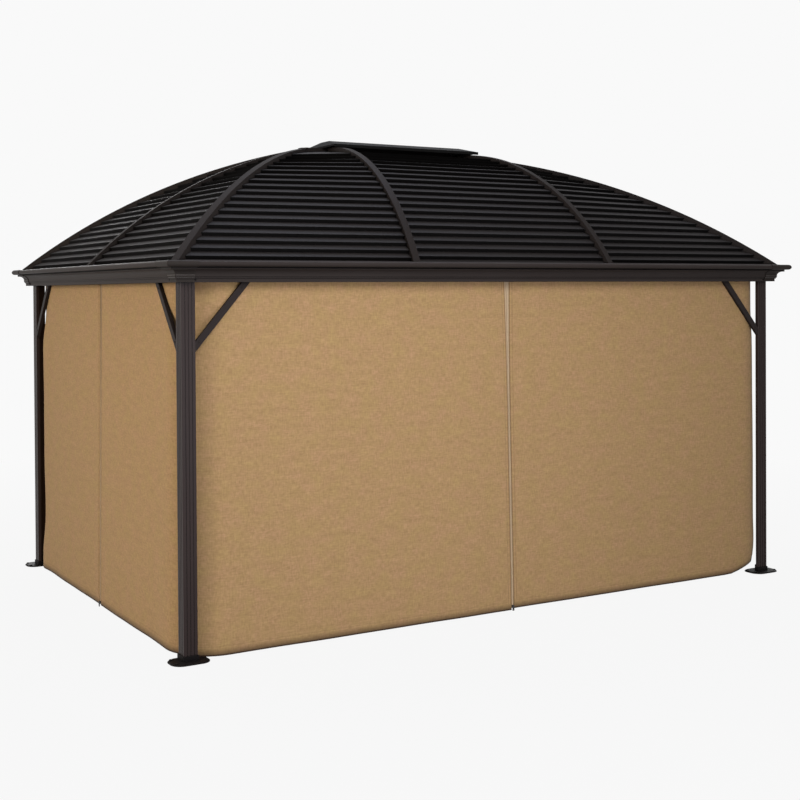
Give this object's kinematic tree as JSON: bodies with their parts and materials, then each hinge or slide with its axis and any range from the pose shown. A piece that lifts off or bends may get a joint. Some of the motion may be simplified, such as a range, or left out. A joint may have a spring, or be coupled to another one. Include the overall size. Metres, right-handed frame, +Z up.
{
  "type": "metal gazebo",
  "caption": "Rectangular metal garden gazebo with a domed hip roof of lapped steel courses, grooved corner posts, crown-moulded eaves, diagonal braces and hung curtains.",
  "frame": {"origin": "on the ground, at the middle of the plan", "axes": "+X along the long side to the right seen from the front, +Y from the front to the back, +Z up"},
  "size_m": [4.27, 3.01, 2.819],
  "materials": {
    "frame_metal": "dark brown powder coat, satin",
    "roof_metal": "dark brown coated steel sheet, satin",
    "foot_metal": "black powder coat",
    "track_metal": "dark anodised",
    "curtain_fabric": "tan woven polyester, matt",
    "zip_plastic": "beige zip tape with dark pull"
  },
  "bodies": {
    "root": {"braces_back_left": "frame_metal", "braces_back_right": "frame_metal", "braces_front_left": "frame_metal", "braces_front_right": "frame_metal", "corner_cap_back_left": "frame_metal", "corner_cap_back_right": "frame_metal", "corner_cap_front_left": "frame_metal", "corner_cap_front_right": "frame_metal", "curtain_back_left": "curtain_fabric", "curtain_back_right": "curtain_fabric", "curtain_front_left": "curtain_fabric", "curtain_front_right": "curtain_fabric", "curtain_track": "track_metal", "curtain_zips": "zip_plastic", "eave_beam_back": "frame_metal", "eave_beam_front": "frame_metal", "eave_beam_left": "frame_metal", "eave_beam_right": "frame_metal", "end_rib_left": "frame_metal", "end_rib_right": "frame_metal", "foot_plate_back_left": "foot_metal", "foot_plate_back_right": "foot_metal", "foot_plate_front_left": "foot_metal", "foot_plate_front_right": "foot_metal", "hip_rib_back_left": "frame_metal", "hip_rib_back_right": "frame_metal", "hip_rib_front_left": "frame_metal", "hip_rib_front_right": "frame_metal", "long_ribs_back": "frame_metal", "long_ribs_front": "frame_metal", "post_back_left": "frame_metal", "post_back_right": "frame_metal", "post_front_left": "frame_metal", "post_front_right": "frame_metal", "ridge_beam": "frame_metal", "ridge_cover": "frame_metal", "roof_sheet_end_back_left": "roof_metal", "roof_sheet_end_back_right": "roof_metal", "roof_sheet_end_front_left": "roof_metal", "roof_sheet_end_front_right": "roof_metal", "roof_sheet_middle_back": "roof_metal", "roof_sheet_middle_front": "roof_metal", "roof_sheet_side_back_left": "roof_metal", "roof_sheet_side_back_right": "roof_metal", "roof_sheet_side_front_left": "roof_metal", "roof_sheet_side_front_right": "roof_metal"}
  },
  "joints": []
}
